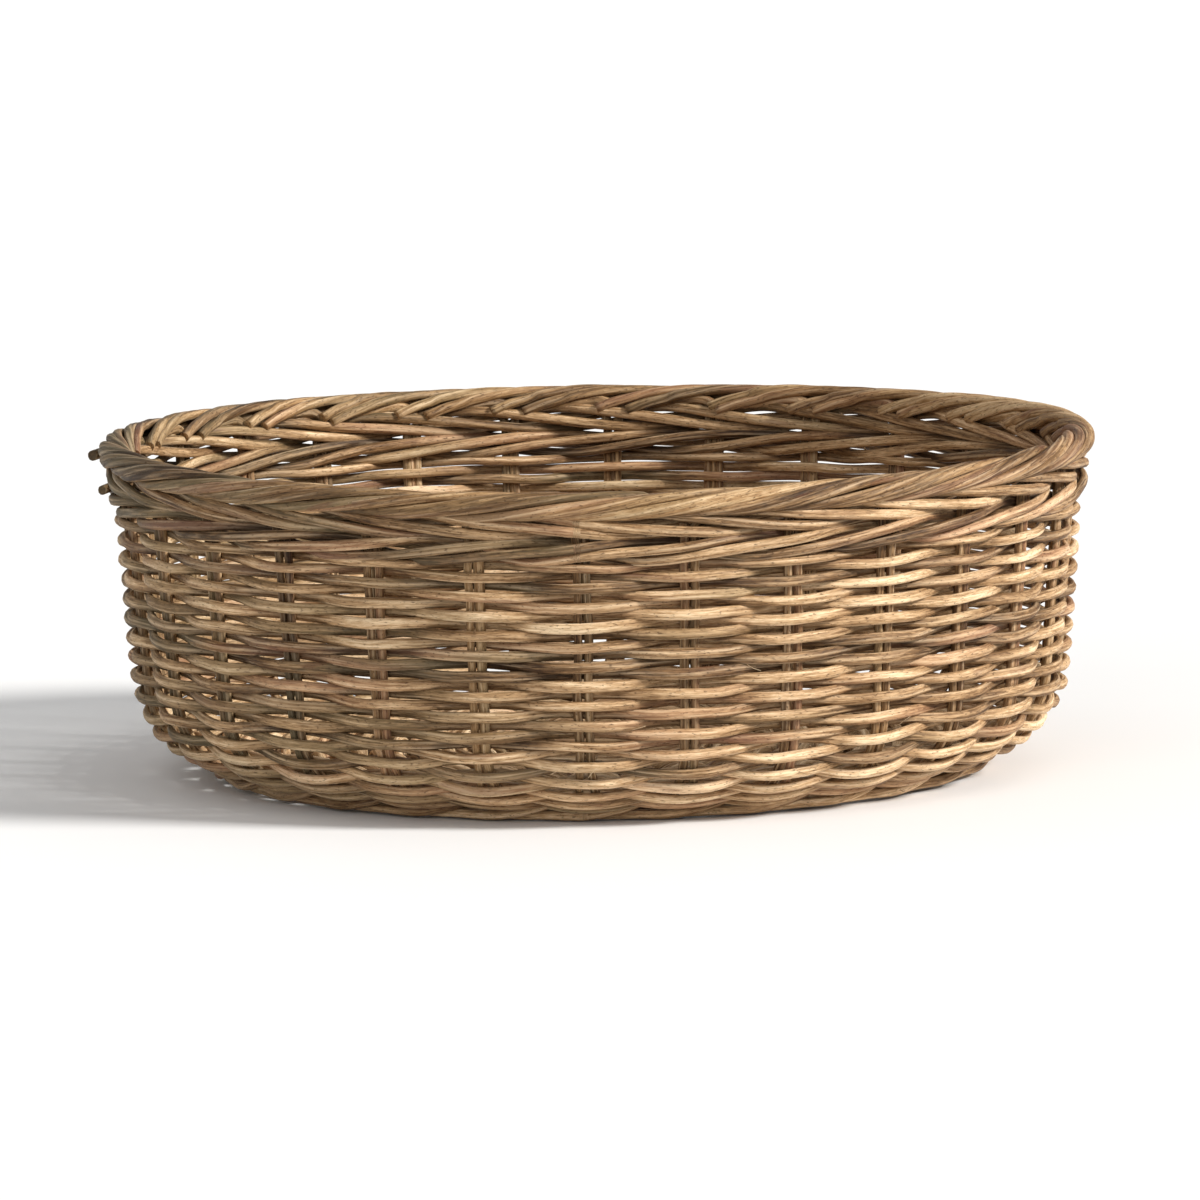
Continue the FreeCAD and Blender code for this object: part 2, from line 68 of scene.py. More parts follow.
def stake_line(distance):
    """Radius, height and outward normal of the stake line, for an array of distances."""
    d = np.asarray(distance, float)
    turn = np.clip((d - EDGE_R) / BEND, 0, RISE)
    up = np.maximum(d - CORNER_END, 0)
    r = np.minimum(d, EDGE_R) + BEND * np.sin(turn) + up * math.cos(RISE)
    z = BASE_LEVEL + BEND * (1 - np.cos(turn)) + up * math.sin(RISE)
    return r, z, np.sin(turn), -np.cos(turn)


def along_wall(level):
    return CORNER_END + (level - FOOT_Z) / math.sin(RISE)


def stake_angle(number):
    return FIRST + number * STEP


print("wall foot", round(FOOT_R, 1), round(FOOT_Z, 1), "spacing at the rim", round(290 * STEP, 1))

# %% [markdown]
# Natural cane is never straight or even. One seeded generator gives every cane its own
# waver. `waver` is a smooth random curve: a few sines with random phases, which repeats
# round the ring, so a ring of cane closes without a jump.

# %% Seeded unevenness
rng = np.random.default_rng(28)


def waver(angle, lowest, highest, amount):
    """A smooth curve round the ring, made of whole waves between two counts per turn."""
    total = np.zeros_like(angle)
    counts = np.arange(lowest, highest + 1)
    for count in counts:
        total += rng.normal() * np.sin(count * angle + rng.uniform(0, 2 * math.pi))
    return amount * total / math.sqrt(len(counts) / 2)


print("sample waver", np.round(waver(np.linspace(0, 6, 4), 3, 9, 1.0), 2))

# %% [markdown]
# A bed that has been handled is not a true circle in one plane. Its left and right sides
# stand a little higher than the middle and the front of the rim has crept up. One small
# change of height, made to every cane, gives that without disturbing the weave.

# %% How the bed has settled
def settle(line):
    """Lifts the sides and the front of the rim by a few millimetres."""
    x, y, z = line.T
    out = np.clip((np.hypot(x, y) - 205) / 45, 0, 1)
    out = out * out * (3 - 2 * out)
    sides = 3.8 * (x / 250) ** 2 * out
    rim = (1.4 + 1.0 * np.clip(-y / 290, 0, 1)) * np.clip(z / 200, 0, 1.1) ** 2
    return np.column_stack([x, y, z + sides + rim])


print("lift at the right-hand rim", settle(np.array([[290.0, 0, 190]]))[0, 2] - 190)

# %% [markdown]
# A cane is a tube: a ring of points set round each point of its line. The section is an
# oval with flats, because cane is split and dried. Each ring needs two directions that
# stay steady: one that points out of the weave, and one across it. `Bundle` gathers many
# canes into one mesh, and keeps three things for the material: where a point lies along
# and round its own cane, how light that cane is, with painted shade where it is buried in
# the weave, and how strongly the corners of its flats are painted pale, as wear and highlight.

# %% Canes gathered into one mesh
def smooth_line(points, step):
    """Centripetal Catmull-Rom curve through points, resampled every step millimetres."""
    p = np.asarray(points, float)
    p = np.vstack([2 * p[0] - p[1], p, 2 * p[-1] - p[-2]])
    pieces = []
    for a, b, c, d in zip(p[:-3], p[1:-2], p[2:-1], p[3:]):
        t = np.linspace(0, 1, 12, endpoint=False)[:, None]
        k1 = max(np.linalg.norm(b - a), 1e-6) ** 0.5
        k2 = max(np.linalg.norm(c - b), 1e-6) ** 0.5
        k3 = max(np.linalg.norm(d - c), 1e-6) ** 0.5
        m1 = ((b - a) / k1 - (c - a) / (k1 + k2) + (c - b) / k2) * k2
        m2 = ((c - b) / k2 - (d - b) / (k2 + k3) + (d - c) / k3) * k2
        h = [2 * t**3 - 3 * t**2 + 1, t**3 - 2 * t**2 + t, -2 * t**3 + 3 * t**2, t**3 - t**2]
        pieces.append(h[0] * b + h[1] * m1 + h[2] * c + h[3] * m2)
    line = np.vstack(pieces + [p[-2:-1]])
    reach = np.concatenate([[0], np.cumsum(np.linalg.norm(np.diff(line, axis=0), axis=1))])
    wanted = np.linspace(0, reach[-1], max(3, int(reach[-1] / step) + 1))
    return np.column_stack([np.interp(wanted, reach, line[:, k]) for k in range(3)])


class Bundle:
    """Canes that go into one mesh object."""

    def __init__(self):
        self.points, self.quads, self.ends = [], [], []
        self.place, self.tone, self.ridge = [], [], []
        self.size = 0

    def add(
        self, line, outward, wide, deep, tone, closed=False, sides=10, tips=(1.0, 1.0), away=None
    ):
        """Lays one cane; wide is across the weave and deep is through it, in millimetres.

        tips are the thicknesses of the two ends, as shares. away is how far the line stands
        off the middle of the wall; it is used to paint shade on the cane where it is buried in the
        weave.
        """
        line = settle(np.asarray(line, float))
        count = len(line)
        # the canes rest on the floor, so no line comes nearer to it than half a cane
        line[:, 2] = np.maximum(line[:, 2], np.mean(deep) / 2)
        if closed:
            ahead = np.roll(line, -1, 0) - np.roll(line, 1, 0)
        else:
            ahead = np.gradient(line, axis=0)
        ahead /= np.linalg.norm(ahead, axis=1)[:, None]
        out = outward - ahead * (outward * ahead).sum(1)[:, None]
        out /= np.linalg.norm(out, axis=1)[:, None]
        across = np.cross(out, ahead)
        reach = np.concatenate([[0], np.cumsum(np.linalg.norm(np.diff(line, axis=0), axis=1))])
        wide = np.broadcast_to(np.asarray(wide, float), (count,)).copy()
        deep = np.broadcast_to(np.asarray(deep, float), (count,)).copy()
        # slow swelling along the cane
        for _ in range(3):
            pitch = rng.uniform(40, 160)
            swell = 1 + 0.022 * np.sin(2 * math.pi * reach / pitch + rng.uniform(0, 6.28))
            if closed:
                swell = 1 + (swell - 1) * np.minimum(1, np.minimum(reach, reach[-1] - reach) / 30)
            wide, deep = wide * swell, deep * swell
        # flats: ridge points stand out, the points between them are planed off
        turn = np.arange(sides) * 2 * math.pi / sides + rng.uniform(0, 0.5)
        ridge = np.where(np.arange(sides) % 2 == 0, 1.0, 0.0) * rng.uniform(0.3, 1, sides)
        plane = 1 + 0.055 * (ridge - 0.35) + rng.normal(0, 0.012, sides)
        roll = rng.uniform(0, 6.28)
        roll = roll + 0.25 * np.sin(reach / rng.uniform(90, 200) + rng.uniform(0, 6))
        if closed:
            roll = np.full(count, roll[0])
        angle = turn[None, :] + roll[:, None]
        taper = np.ones(count)
        if not closed:
            taper = np.where(reach < 25, tips[0] + (1 - tips[0]) * reach / 25, taper)
            back = reach[-1] - reach
            far_tip = np.minimum(taper, tips[1] + (1 - tips[1]) * back / 25)
            taper = np.where(back < 25, far_tip, taper)
        half_w = (wide * taper / 2)[:, None] * plane[None, :]
        half_d = (deep * taper / 2)[:, None] * plane[None, :]
        ring = (
            line[:, None, :]
            + (half_w * np.sin(angle))[..., None] * across[:, None, :]
            + (half_d * np.cos(angle))[..., None] * out[:, None, :]
        )
        start = self.size
        self.points.append(ring.reshape(-1, 3))
        shift = rng.uniform(0, 40)
        place = np.empty((count, sides, 3))
        place[..., 0] = (reach * MM + shift)[:, None]
        place[..., 1] = (wide.mean() / 2 * MM) * np.sin(turn)[None, :]
        place[..., 2] = (wide.mean() / 2 * MM) * np.cos(turn)[None, :] + shift * 0.1
        self.place.append(place.reshape(-1, 3))
        shade = np.full((count, sides), tone)
        if away is not None:
            # painted shade, with a little dust: the cane is darker where canes cross, near the
            # middle of the wall
            height = np.abs(away[:, None] + half_d * np.cos(angle))
            shade += 0.06 - 0.27 * np.clip(1 - height / 7.0, 0, 1)
        self.tone.append(shade.ravel())
        self.ridge.append(np.tile(ridge, count))
        rows = np.arange(count if closed else count - 1)
        cols = np.arange(sides)
        a = rows[:, None] * sides + cols[None, :]
        b = rows[:, None] * sides + (cols[None, :] + 1) % sides
        c = ((rows[:, None] + 1) % count) * sides + (cols[None, :] + 1) % sides
        d = ((rows[:, None] + 1) % count) * sides + cols[None, :]
        self.quads.append(start + np.stack([a, b, c, d], -1).reshape(-1, 4))
        if not closed:
            self.ends.append(start + np.arange(sides)[::-1])
            self.ends.append(start + (count - 1) * sides + np.arange(sides))
        self.size += count * sides

    def piece(self, name, material):
        """Makes the mesh object, in metres."""
        points = np.vstack(self.points) * MM
        faces = [q for block in self.quads for q in block.tolist()]
        faces += [e.tolist() for e in self.ends]
        mesh = bpy.data.meshes.new(name)
        mesh.from_pydata(points.tolist(), [], faces)
        for label, kind, field, data in (
            ("cane_place", "FLOAT_VECTOR", "vector", np.vstack(self.place)),
            ("cane_tone", "FLOAT", "value", np.concatenate(self.tone)),
            ("cane_ridge", "FLOAT", "value", np.concatenate(self.ridge)),
        ):
            layer = mesh.attributes.new(label, kind, "POINT")
            layer.data.foreach_set(field, np.ascontiguousarray(data, np.float32).ravel())
        smooth = np.ones(len(faces), bool)
        smooth[len(faces) - len(self.ends):] = False
        mesh.polygons.foreach_set("use_smooth", smooth)
        mesh.materials.append(material)
        mesh.update()
        made = bpy.data.objects.new(name, mesh)
        bpy.context.scene.collection.objects.link(made)
        return made


print("bundle ready")

# %% [markdown]
# Materials are written as sums. `Wire` holds one output of the node tree; adding or
# multiplying two wires adds the Math node that does it, and `node` adds any other node.

# %% Shader arithmetic
class Wire:
    """One value inside a material's node tree."""

    def __init__(self, tree, socket=None):
        self.tree, self.socket = tree, socket

    def node(self, kind, settings=None, inputs=None, out=0):
        made = self.tree.nodes.new(kind)
        for key, value in (settings or {}).items():
            if key == "stops":
                ramp = made.color_ramp
                while len(ramp.elements) < len(value):
                    ramp.elements.new(0.5)
                for element, (place, colour) in zip(ramp.elements, value):
                    element.position = place
                    element.color = (*colour, 1)
            else:
                setattr(made, key, value)
        for key, value in (inputs or {}).items():
            found = [s for s in made.inputs if s.identifier == key]
            target = found[0] if found else made.inputs[key]
            if isinstance(value, Wire):
                self.tree.links.new(value.socket, target)
            else:
                target.default_value = value
        outs = [s for s in made.outputs if s.identifier == out or s.name == out]
        return Wire(self.tree, outs[0] if outs else made.outputs[0])

    def sum(self, operation, first, second):
        made = self.tree.nodes.new("ShaderNodeMath")
        made.operation = operation
        for place, value in enumerate((first, second)):
            if isinstance(value, Wire):
                self.tree.links.new(value.socket, made.inputs[place])
            else:
                made.inputs[place].default_value = value
        return Wire(self.tree, made.outputs[0])

    def __add__(self, other):
        return self.sum("ADD", self, other)

    __radd__ = __add__

    def __sub__(self, other):
        return self.sum("SUBTRACT", self, other)

    def __rsub__(self, other):
        return self.sum("SUBTRACT", other, self)

    def __mul__(self, other):
        return self.sum("MULTIPLY", self, other)

    __rmul__ = __mul__

    def clamp(self):
        return self.node("ShaderNodeClamp", None, {"Value": self})

    def band(self, low, high):
        """0 below low, 1 above high, smooth between."""
        return self.node(
            "ShaderNodeMapRange",
            {"interpolation_type": "SMOOTHSTEP"},
            {"Value": self, "From Min": low, "From Max": high},
        )

    def mix(self, first, second):
        """First colour where this wire is 0, second where it is 1."""
        return self.node(
            "ShaderNodeMix",
            {"data_type": "RGBA"},
            {"Factor_Float": self, "A_Color": first, "B_Color": second},
            "Result_Color",
        )


def new_material(name):
    made = bpy.data.materials.new(name)
    made.use_nodes = True
    return made, made.node_tree.nodes["Principled BSDF"]


print("shader arithmetic ready")

# %% [markdown]
# Dry rattan is matte and streaked. Seen close it has long pale and brown fibres, short
# dark pores, blotches where the skin was darker, and pale corners on its flats, which are
# partly wear and partly painted highlight.
# The streaks come from noise that is stretched along the cane, using the place along and
# round the cane that the mesh carries. Each cane's own tone moves it along a colour ramp.
# The place in the bed has a say too, partly as the cane's own colour and partly as painted
# light and shade: which side a point is on, and whether it looks out of the bed or into it.

# %% Rattan material
def srgb(r, g, b):
    """A colour given as it looks on a screen, 0 to 255, made linear."""
    shares = [v / 255 for v in (r, g, b)]
    return tuple(((v + 0.055) / 1.055) ** 2.4 if v > 0.04 else v / 12.92 for v in shares)


def rattan(name, stops, from_mesh=True, left_shade=0.08):
    """Dry cane; the last argument is how much painted shade darkens the outside of the left-hand
    side.
    """
    made, surface = new_material(name)
    start = Wire(made.node_tree)
    if from_mesh:
        place = start.node("ShaderNodeAttribute", {"attribute_name": "cane_place"}, None, "Vector")
        tone = start.node("ShaderNodeAttribute", {"attribute_name": "cane_tone"}, None, "Fac")
        ridge = start.node("ShaderNodeAttribute", {"attribute_name": "cane_ridge"}, None, "Fac")
    else:
        place = start.node("ShaderNodeTexCoord", None, None, "Object")
        tone = start.node("ShaderNodeTexNoise", None, {"Vector": place, "Scale": 30.0}, "Fac")
        ridge = tone * 0.5

    def grain(along, round_about, detail):
        stretched = start.node(
            "ShaderNodeVectorMath",
            {"operation": "MULTIPLY"},
            {0: place, 1: (along, round_about, round_about)},
        )
        return start.node(
            "ShaderNodeTexNoise",
            None,
            {"Vector": stretched, "Scale": 1.0, "Detail": detail, "Roughness": 0.6},
            "Fac",
        )

    long_streak = grain(24, 560, 3.0)
    fibre = grain(150, 1250, 3.0)
    pore = grain(330, 1150, 2.0).band(0.60, 0.68)
    patch = grain(9, 60, 3.0)
    shade = tone + (long_streak - 0.5) * 0.95 + (fibre - 0.5) * 0.85
    where = start.node("ShaderNodeTexCoord", None, None, "Object")
    across = start.node("ShaderNodeSeparateXYZ", None, {"Vector": where}, "X")
    # painted shade and light: the outside of the left-hand side is painted darker and its inside
    # paler, as a lamp on the right shows them
    faces = start.node("ShaderNodeNewGeometry", None, None, "Normal")
    outside = start.node(
        "ShaderNodeVectorMath", {"operation": "DOT_PRODUCT"}, {0: faces, 1: where}, "Value"
    )
    left_outside_shade = (across * -5.0 - 0.45).clamp() * outside.band(-0.03, 0.12)
    left_inside_light = (across * -5.0 - 0.1).clamp() * (1 - outside.band(-0.12, 0.03))
    # painted light: the right-hand side is lighter and the left darker, partly for the lamp on the
    # right and partly the cane's own colour
    shade = shade + (patch - 0.5) * 1.0 + across * 0.14
    shade = (shade - left_outside_shade * left_shade + left_inside_light * 0.16).clamp()
    colour = shade.node("ShaderNodeValToRGB", {"stops": stops}, {"Fac": shade}, "Color")
    pink = grain(5, 30, 1.0).band(0.52, 0.72) * 0.32
    colour = pink.mix(colour, (*srgb(188, 134, 104), 1))
    olive = (grain(7, 25, 1.0) - across * 0.45).band(0.46, 0.74) * 0.42
    colour = olive.mix(colour, (*srgb(124, 112, 80), 1))
    # painted highlight and wear: the corners of the flats are painted pale
    edge_wear_and_highlight = ridge * (long_streak.band(0.40, 0.60)) * 0.42
    colour = edge_wear_and_highlight.mix(colour, (*srgb(244, 216, 178), 1))
    bark = grain(13, 70, 2.0).band(0.66, 0.71) * 0.4
    colour = bark.mix(colour, (*srgb(104, 58, 38), 1))
    dark = pore * 0.6
    colour = dark.mix(colour, (*srgb(60, 36, 18), 1))
    made.node_tree.links.new(colour.socket, surface.inputs["Base Color"])
    rough = 0.62 + (fibre - 0.5) * 0.25 + pore * 0.12
    made.node_tree.links.new(rough.socket, surface.inputs["Roughness"])
    relief = long_streak * 0.5 + fibre * 0.35 - pore * 0.5
    bump = start.node(
        "ShaderNodeBump", None, {"Strength": 0.7, "Distance": 0.0006, "Height": relief}, "Normal"
    )
    made.node_tree.links.new(bump.socket, surface.inputs["Normal"])
    surface.inputs["Specular IOR Level"].default_value = 0.3
    return made


weaver_stops = [
    (0.0, srgb(58, 36, 14)),
    (0.32, srgb(120, 88, 54)),
    (0.60, srgb(180, 144, 103)),
    (1.0, srgb(248, 220, 180)),
]
weaver_cane = rattan("weaver_cane", weaver_stops)
stake_stops = [
    (0.0, srgb(50, 30, 12)),
    (0.35, srgb(106, 76, 44)),
    (0.65, srgb(160, 124, 82)),
    (1.0, srgb(216, 186, 144)),
]
stake_rattan = rattan("stake_rattan", stake_stops, left_shade=0.36)
wale_cane = rattan("wale_cane", weaver_stops, left_shade=0.3)
binder_cane = rattan("binder_cane", weaver_stops)
stick_rattan = rattan("base_stick_rattan", stake_stops, from_mesh=False)
print("materials", len(bpy.data.materials))

# %% [markdown]
# The light end of the bed is the right-hand side. That is partly the lamps, partly painted
# light and partly the cane itself: each cane's tone is drawn at random, and the material
# then makes it lighter towards the right by where it is.

# %% Tone of one cane
def drawn_tone(middle=0.5, spread=0.13):
    return float(np.clip(rng.normal(middle, spread), 0.08, 0.92))


print("tones", [round(drawn_tone(), 2) for _ in range(4)])

# %% [markdown]
# A wale is a row of several rods that work round together. Here four rods take turns: each
# passes outside two stakes and behind the next two, one stake after the rod before it. Its
# line has a period of four spacings, so four rings, each begun one stake further on, make
# the whole wale. Outside, every stroke slopes; inside it comes back to where it began.

# %% Wales
def periodic(u, knots, values):
    """Smooth curve through knots that repeats after the last of them."""
    k = np.array(knots, float)
    v = np.array(values, float)
    slope = np.empty_like(v)
    slope[1:-1] = (v[2:] - v[:-2]) / (k[2:] - k[:-2])
    slope[0] = slope[-1] = (v[1] - v[-2]) / (k[1] - k[0] + k[-1] - k[-2])
    i = np.clip(np.searchsorted(k, u, side="right") - 1, 0, len(k) - 2)
    h = k[i + 1] - k[i]
    t = (u - k[i]) / h
    return (
        (2 * t**3 - 3 * t**2 + 1) * v[i]
        + (t**3 - 2 * t**2 + t) * h * slope[i]
        + (-2 * t**3 + 3 * t**2) * v[i + 1]
        + (t**3 - t**2) * h * slope[i + 1]
    )


def wale_ring(first_at, fall, ring, outside, rough):
    """One rod of a wale; first_at and fall are distances along the stake line."""
    angle = np.linspace(0, 2 * math.pi, STAKES * 16, endpoint=False)
    u = np.mod(angle / STEP - ring, 4.0)
    angle = angle + FIRST
    near, far = outside
    # spacings along the rod: inside at 0, out by 1, past two stakes, in again by 3
    knots = [0, 0.28, 0.55, 1.0, 1.5, 2.0, 2.4, 2.72, 3.0, 3.5, 4.0]
    away_at = [-5.6, -3.4, 1.8, near, (near + far) / 2, far, 2.6, -3.0, -5.4, -5.9, -5.6]
    # the stroke has slid this far when it goes in; it climbs back while it is inside
    stroke, return_run = 1.85, 2.2
    last = first_at + fall * stroke
    back = (first_at - last) / return_run
    place_at = [first_at - back * 0.55, first_at - back * 0.15]
    place_at += [first_at + fall * share for share in (0.0, 0.45, 0.95, 1.45, 1.80)]
    place_at += [last + back * share for share in (0.1, 0.35, 0.95)] + [first_at - back * 0.55]
    away = periodic(u, knots, away_at)
    place = periodic(u, knots, place_at) + waver(angle, 3, 19, 0.35 * rough)
    r, z, out_r, out_z = stake_line(place)
    radius = r + away * out_r
    line = np.column_stack([radius * np.cos(angle), radius * np.sin(angle), z + away * out_z])
    outward = np.column_stack([out_r * np.cos(angle), out_r * np.sin(angle), out_z])
    return line, outward, away


print("strokes in one wale", STAKES)

# %% [markdown]
# A row of plain weave passes outside one pair of stakes and behind the next. Seen from
# above its line is a wave with one crest every second stake. The rows above and below
# wander together, so the same wander is used for neighbours, changed a little row by row.
# At the foot, where the rods bend up, a four-rod wale takes the place of the plain rows.

# %% Plain rows round the stakes
FLOW = [waver(np.linspace(0, 2 * math.pi, 721), 2, 5, 1.0) for _ in range(3)]
FLOW += [waver(np.linspace(0, 2 * math.pi, 721), 10, 26, 1.0) for _ in range(3)]


def shared_wander(angle, distance):
    """How far neighbouring rows drift up or down together, in millimetres."""
    turn = np.mod(angle, 2 * math.pi)
    table = np.linspace(0, 2 * math.pi, 721)
    slow, quick = 0, 0
    for k in range(3):
        weight = math.cos(distance / 34 + 2.1 * k)
        slow += weight * np.interp(turn, table, FLOW[k])
        quick += math.cos(distance / 21 + 2.1 * k) * np.interp(turn, table, FLOW[3 + k])
    return 0.45 * slow + 0.32 * quick


def crest(phase):
    """A wave that lies a little flatter over the stakes than a cosine."""
    wave = np.cos(phase)
    return wave * (1.12 - 0.12 * wave**2)


def row_line(distance, parity, lift, start, overlap, samples=15):
    """One row that begins and ends inside the wall behind the stake numbered start."""
    extra = overlap / (distance if distance > 60 else 60)
    first = stake_angle(start)
    angle = np.linspace(first - extra, first + 2 * math.pi + extra, STAKES * samples)
    phase = (angle - FIRST) / STEP * math.pi + parity * math.pi
    fade = np.minimum(1, np.minimum(angle - angle[0], angle[-1] - angle) / STEP)
    # rows wander most at the foot, and little in the base, where they are packed tight
    bottom = math.exp(-(((distance - EDGE_R) / 30) ** 2))
    drift = shared_wander(angle, distance) * (1 + 0.9 * bottom) + waver(angle, 20, 45, 0.16)
    if distance < EDGE_R - 12:
        drift *= 0.35
    r, z, out_r, out_z = stake_line(distance + drift)
    away = lift * crest(phase) * (1 + waver(angle, 5, 30, 0.05))
    away -= (1 - fade) * 1.6
    radius = r + away * out_r
    # where the wall turns under, the weight of the bed has pressed the waves flatter
    flat = 1 - 0.5 * math.exp(-(((distance - EDGE_R - 18) / 26) ** 2))
    level = z + away * out_z * flat
    line = np.column_stack([radius * np.cos(angle), radius * np.sin(angle), level])
    level_part = out_z * np.ones_like(angle)
    outward = np.column_stack([out_r * np.cos(angle), out_r * np.sin(angle), level_part])
    return line, outward, away


PITCH = 5.82
TOP_ROW = along_wall(149.8) + PITCH
LOWEST = 103.0
row_distances = np.arange(TOP_ROW, LOWEST, -PITCH)
bands = {
    "weave_base_middle": ("base_weave_middle", LOWEST - 9, (LOWEST + EDGE_R) / 2),
    "weave_base_outer": ("base_weave_outer", (LOWEST + EDGE_R) / 2, EDGE_R - PITCH / 2),
    "weave_corner_lower": ("corner_weave_lower", EDGE_R - PITCH / 2, (EDGE_R + CORNER_END) / 2),
    "weave_corner_upper": ("corner_weave_upper", (EDGE_R + CORNER_END) / 2, CORNER_END),
}
wall_split = np.linspace(CORNER_END, TOP_ROW + 1, 5)
for n in range(4):
    bands[f"weave_wall_{n + 1}"] = (f"wall_weave_{n + 1}", wall_split[n], wall_split[n + 1])


BASE_LIFT, FOOT_LIFT, WALL_LIFT = 5.6, 5.9, 5.2


def lift_at(distance):
    """How far a row stands off the stakes: most at the foot, least in the wall."""
    if distance <= EDGE_R - PITCH:
        return BASE_LIFT
    share = min(1.0, max(0.0, (distance - EDGE_R) / (CORNER_END - EDGE_R)))
    return FOOT_LIFT + share * (WALL_LIFT - FOOT_LIFT)


FOOT_WALE = (-3.5, 12.0)
made_bands = {name: Bundle() for name in bands}
laid = 0
for row, distance in enumerate(row_distances):
    if FOOT_WALE[0] < distance - EDGE_R < FOOT_WALE[1]:
        continue
    laid += 1
    parity = row % 2
    name = next(n for n, (_, low, high) in bands.items() if low <= distance < high)
    start = int(rng.integers(STAKES // 2)) * 2 + (1 if parity == 0 else 0)
    samples = 15 if distance > 215 else 9
    line, outward, away = row_line(distance, parity, lift_at(distance), start, 11.0, samples)
    width = rng.normal(6.6, 0.3) if distance > EDGE_R - 15 else rng.normal(6.0, 0.2)
    if distance > TOP_ROW - 20:
        width -= 0.7
    depth = rng.normal(5.3, 0.18)
    sides = 10 if distance > 200 else 8
    made_bands[name].add(line, outward, width, depth, drawn_tone(), sides=sides, away=away)
corner = made_bands["weave_corner_lower"]
for ring in range(4):
    line, outward, away = wale_ring(EDGE_R + 1.5, 4.6, ring, (5.9, 6.6), 0.9)
    wide = rng.normal(6.4, 0.15)
    corner.add(line, outward, wide, wide * 0.92, drawn_tone(), closed=True, away=away)
for name, bundle in made_bands.items():
    piece = bundle.piece(name, weaver_cane)
    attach(piece, "root")
    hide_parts(bands[name][0])
print("plain rows", laid)

# %% [markdown]
# The middle of the base: fourteen sticks stay as they are, with a grained material. The
# fine cane that binds them goes over one whole arm of seven sticks and under the next.
# Further out it is woven over two spokes and under two.

# %% Binding and inner base
def fine_row(radius, signs, tone, bundle):
    angle = np.linspace(0, 2 * math.pi, STAKES * 9, endpoint=False) + FIRST
    place = (angle - FIRST) / STEP
    low = np.floor(place).astype(int) % STAKES
    part = place - np.floor(place)
    ease = part * part * (3 - 2 * part)
    side = np.array(signs)[low] * (1 - ease) + np.array(signs)[(low + 1) % STAKES] * ease
    r = radius + waver(angle, 3, 11, 0.25)
    z = BASE_LEVEL + 4.7 * side
    line = np.column_stack([r * np.cos(angle), r * np.sin(angle), z])
    up = np.tile([0.0, 0.0, 1.0], (len(angle), 1))
    bundle.add(line, up, 3.6, 3.4, tone, closed=True, sides=8)


binding = Bundle()
arm_signs = [1 if ((k + 3) // 7) % 2 == 0 else -1 for k in range(STAKES)]
radius = 1.03 * 4.85 / math.sin(STEP / 2)
for row in range(4):
    flip = 1 if row % 2 == 0 else -1
    fine_row(radius, [flip * s for s in arm_signs], drawn_tone(), binding)
    radius += 3.8
inner = Bundle()
pair_signs = [1 if (k // 2) % 2 == 0 else -1 for k in range(STAKES)]
radius += 0.3
row = 0
while radius < 100:
    flip = 1 if row % 2 == 0 else -1
    fine_row(radius, [flip * s for s in pair_signs], drawn_tone(), inner)
    radius += 3.8
    row += 1
for bundle, name, node in (
    (binding, "binding_of_the_slath", "slath_binding"),
    (inner, "weave_base_inner", "base_weave_inner"),
):
    piece = bundle.piece(name, binder_cane)
    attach(piece, "root")
    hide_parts(node)
for name, node in nodes.items():
    if name.startswith("slath_") and "stick" in name:
        node.data.materials.clear()
        node.data.materials.append(stick_rattan)
print("inner base ends at", round(radius, 1))

# %% [markdown]
# Two wales close the wall under the border. The upper one's strokes fall to the right and
# the lower one's climb, so where they meet they make the arrow heads of a chain. Both are
# four rods each, so the same helper lays them; only where they start and the way they lean
# differ.

# %% Chain wales
WALE_OUTSIDE = (6.0, 7.6)
upper = Bundle()
lower = Bundle()
for ring in range(4):
    for bundle, level, fall, wide in ((upper, 186.0, -6.5, 6.2), (lower, 159.4, 6.2, 6.1)):
        line, outward, away = wale_ring(along_wall(level), fall, ring, WALE_OUTSIDE, 1.3)
        width, depth = rng.normal(wide, 0.3), rng.normal(5.5, 0.2)
        bundle.add(line, outward, width, depth, drawn_tone(0.36), closed=True, away=away)
print("wale strokes", 2 * STAKES)

# %% [markdown]
# Handwork leaves loose ends. Two rods on the left were never trimmed and stick out of the
# wall, a splinter hangs inside at the back, and a few fibres stand off the front. They are
# too small for meshes of their own, so they are laid into the lower wale's.

# %% Loose ends
for half_turns, level, start_r in ((1.02, 171.5, 284.0), (1.0, 190.0, 289.5)):
    turn = math.pi * half_turns
    stub = [
        (turn - 0.15 + 0.05 * k, start_r + 3.9 * k + 0.3 * k * k, level - 0.5 * k)
        for k in range(4)
    ]
    line = smooth_line([(r * math.cos(a), r * math.sin(a), z) for a, r, z in stub], 3)
    outward = np.tile([math.cos(turn), 0.0, 0.0], (len(line), 1))
    lower.add(line, outward, 6.2, 5.6, 0.3)
SPLINTER, FIBRE = 2.4, 0.55
loose = [((150, 246, 186), (160, 238, 171), (169, 229, 158), SPLINTER)]
